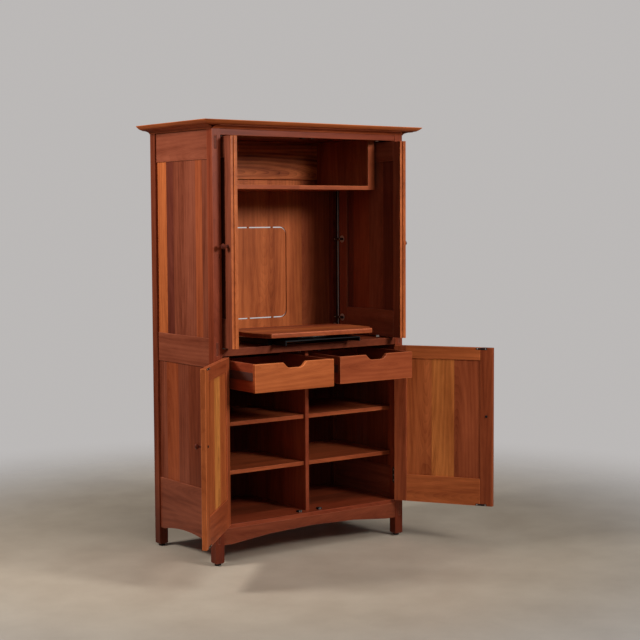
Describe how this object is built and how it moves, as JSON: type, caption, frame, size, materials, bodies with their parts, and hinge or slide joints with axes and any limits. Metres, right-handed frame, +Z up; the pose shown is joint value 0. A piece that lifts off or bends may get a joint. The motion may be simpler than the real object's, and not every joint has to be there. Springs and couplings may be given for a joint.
{
  "type": "entertainment armoire",
  "caption": "Tall cherry-wood media armoire: pocket doors over a pull-out swivel tray and top box, lower doors over drawers and shelves, flared cornice, arched rails.",
  "frame": {"origin": "centre of the case's footprint over its four posts, on the floor", "axes": "+X to the armoire's right as a person faces it, -Y out of its front, +Z up"},
  "size_m": [1.5989, 0.9783, 1.98],
  "materials": {
    "cherry": "oiled and satin lacquered cherry",
    "cherry_light": "lighter cherry boards, satin lacquer",
    "cherry_dark": "darker cherry boards, satin lacquer",
    "steel": "zinc-plated steel",
    "black_steel": "black powder coat",
    "nylon": "nylon"
  },
  "bodies": {
    "case": {"post_front_left": "cherry", "post_front_right": "cherry", "post_back_left": "cherry", "post_back_right": "cherry", "top_board": "cherry", "cornice_moulding": "cherry_dark", "inner_top": "cherry_dark", "side_rails_left": "cherry", "side_rails_right": "cherry", "side_panels_left": "cherry_light", "side_panels_right": "cherry_light", "front_top_rail": "cherry", "front_bottom_rail": "cherry", "deck": "cherry", "floor_board": "cherry", "back_rails": "cherry_dark", "back_panel_upper": "cherry_light", "back_panel_lower": "cherry_dark", "centre_divider": "cherry", "shelves": "cherry", "shelf_pins": "steel", "top_box": "cherry", "pocket_slides": "steel", "drawer_runners": "steel", "drawer_spacers": "cherry_dark", "tray_base": "black_steel", "glides": "nylon", "catches": "steel", "door_guides": "nylon", "hinge_leaves_fixed": "steel"},
    "upper_door_left": {"upper_left_stiles": "cherry", "upper_left_rails": "cherry", "upper_left_panel": "cherry_light", "upper_left_knob": "cherry_light", "upper_left_carrier": "black_steel"},
    "upper_door_right": {"upper_right_stiles": "cherry", "upper_right_rails": "cherry", "upper_right_panel": "cherry_light", "upper_right_knob": "cherry_light", "upper_right_carrier": "black_steel"},
    "lower_door_left": {"lower_left_stiles": "cherry", "lower_left_rails": "cherry", "lower_left_panel": "cherry_light", "lower_left_knob": "cherry_light", "lower_left_hardware": "black_steel"},
    "lower_door_right": {"lower_right_stiles": "cherry", "lower_right_rails": "cherry", "lower_right_panel": "cherry_light", "lower_right_knob": "cherry_light", "lower_right_hardware": "black_steel"},
    "drawer_left": {"drawer_left_front": "cherry_light", "drawer_left_box": "cherry", "drawer_left_slides": "steel"},
    "drawer_right": {"drawer_right_front": "cherry_light", "drawer_right_box": "cherry", "drawer_right_slides": "steel"},
    "tray_slide": {"tray_carriage": "black_steel"},
    "tray_top": {"tray_board": "cherry_light", "tray_swivel_plate": "steel"}
  },
  "joints": [
    {"name": "upper_door_left_slide", "type": "slide", "parent": "case", "child": "upper_door_left", "axis": [0, -1, 0], "range_m": [-0.023, 0.376]},
    {"name": "upper_door_right_slide", "type": "slide", "parent": "case", "child": "upper_door_right", "axis": [0, -1, 0], "range_m": [-0.041, 0.358]},
    {"name": "lower_door_left_hinge", "type": "hinge", "parent": "case", "child": "lower_door_left", "pos_m": [-0.491, -0.278, 0.56], "axis": [0, 0, -1], "range_deg": [-41, 36]},
    {"name": "lower_door_right_hinge", "type": "hinge", "parent": "case", "child": "lower_door_right", "pos_m": [0.491, -0.278, 0.56], "axis": [0, 0, 1], "range_deg": [-29.5, 47.5]},
    {"name": "drawer_left_slide", "type": "slide", "parent": "case", "child": "drawer_left", "axis": [0, -1, 0], "range_m": [-0.248, 0.102]},
    {"name": "drawer_right_slide", "type": "slide", "parent": "case", "child": "drawer_right", "axis": [0, -1, 0], "range_m": [-0.198, 0.152]},
    {"name": "tray_slide_out", "type": "slide", "parent": "case", "child": "tray_slide", "axis": [0, -1, 0], "range_m": [-0.09, 0.18]},
    {"name": "tray_swivel", "type": "hinge", "parent": "tray_slide", "child": "tray_top", "pos_m": [0, -0.19, 1], "axis": [0, 0, 1], "range_deg": [-42, 48]}
  ]
}
